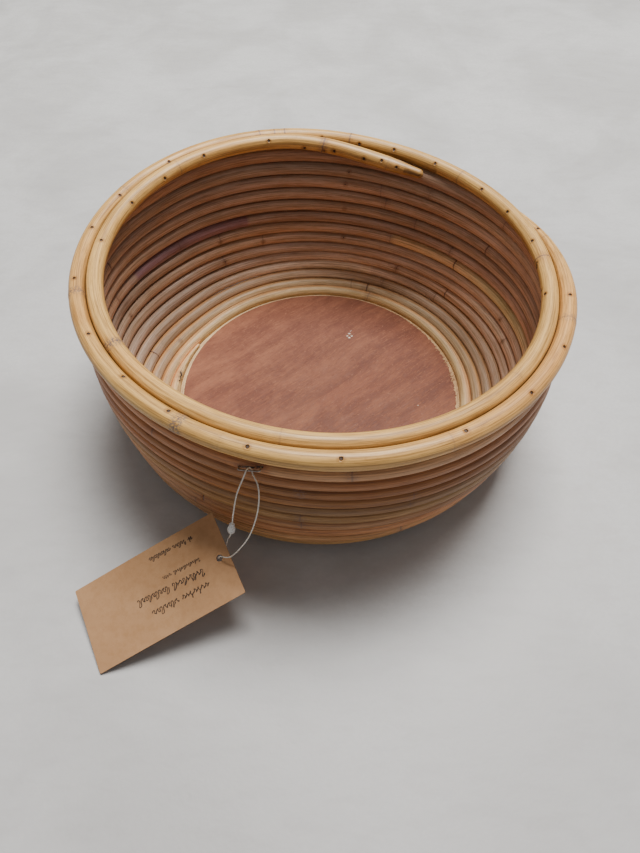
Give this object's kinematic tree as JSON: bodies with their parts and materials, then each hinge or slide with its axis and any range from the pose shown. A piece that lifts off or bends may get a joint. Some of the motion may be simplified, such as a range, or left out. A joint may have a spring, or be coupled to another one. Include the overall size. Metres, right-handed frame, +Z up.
{
  "type": "round cane basket",
  "caption": "Round open basket of coiled natural cane on a plywood base, with a doubled cane rim and a card hang tag on a clear loop.",
  "frame": {"origin": "centre of the base panel's underside, on the floor", "axes": "+Z up; -Y towards the side that carries the hang tag; X to the right seen from that side"},
  "size_m": [0.2522, 0.2962, 0.1087],
  "materials": {
    "base_veneer": "sanded red-brown veneer, unfinished",
    "coil_cane_01": "smooth natural cane skin, satin",
    "coil_cane_02": "smooth natural cane skin, satin",
    "coil_cane_03": "smooth natural cane skin, satin",
    "coil_cane_04": "smooth natural cane skin, satin",
    "coil_cane_05": "smooth natural cane skin, satin",
    "coil_cane_06": "smooth natural cane skin, satin",
    "coil_cane_07": "smooth natural cane skin, satin",
    "coil_cane_08": "smooth natural cane skin, satin",
    "coil_cane_09": "smooth natural cane skin, satin",
    "rim_cane": "smooth natural cane skin, satin",
    "brad_steel": "dull, darkened",
    "tag_staple": "bright wire",
    "tag_loop": "clear filament",
    "loop_lock": "clear moulded plastic",
    "hang_tag": "matt brown kraft card"
  },
  "bodies": {
    "basket": {"base_panel": "base_veneer", "brad_01": "brad_steel", "brad_02": "brad_steel", "brad_03": "brad_steel", "brad_04": "brad_steel", "brad_05": "brad_steel", "brad_06": "brad_steel", "brad_07": "brad_steel", "brad_08": "brad_steel", "brad_09": "brad_steel", "brad_10": "brad_steel", "brad_11": "brad_steel", "brad_12": "brad_steel", "brad_13": "brad_steel", "brad_14": "brad_steel", "brad_15": "brad_steel", "brad_16": "brad_steel", "brad_17": "brad_steel", "brad_18": "brad_steel", "brad_19": "brad_steel", "brad_20": "brad_steel", "brad_21": "brad_steel", "brad_22": "brad_steel", "brad_23": "brad_steel", "brad_24": "brad_steel", "brad_25": "brad_steel", "brad_26": "brad_steel", "brad_27": "brad_steel", "brad_28": "brad_steel", "brad_29": "brad_steel", "brad_30": "brad_steel", "brad_31": "brad_steel", "brad_32": "brad_steel", "brad_33": "brad_steel", "coil_cane_01": "coil_cane_01", "coil_cane_02": "coil_cane_02", "coil_cane_03": "coil_cane_03", "coil_cane_04": "coil_cane_04", "coil_cane_05": "coil_cane_05", "coil_cane_06": "coil_cane_06", "coil_cane_07": "coil_cane_07", "coil_cane_08": "coil_cane_08", "coil_cane_09": "coil_cane_09", "rim_cane": "rim_cane", "tag_staple": "tag_staple"},
    "loop": {"tag_loop": "tag_loop", "loop_lock": "loop_lock"},
    "tag": {"hang_tag": "hang_tag"}
  },
  "joints": [
    {"name": "loop_swing", "type": "hinge", "parent": "basket", "child": "loop", "pos_m": [-0.02927, -0.11567, 0.08752], "axis": [-0.9364, 0.237, -0.2588], "range_deg": [0, 75]},
    {"name": "tag_flap", "type": "hinge", "parent": "loop", "child": "tag", "pos_m": [-0.04684, -0.12876, 0.03136], "axis": [-0.4382, 0.8857, 0.1535], "range_deg": [0, 28]}
  ]
}
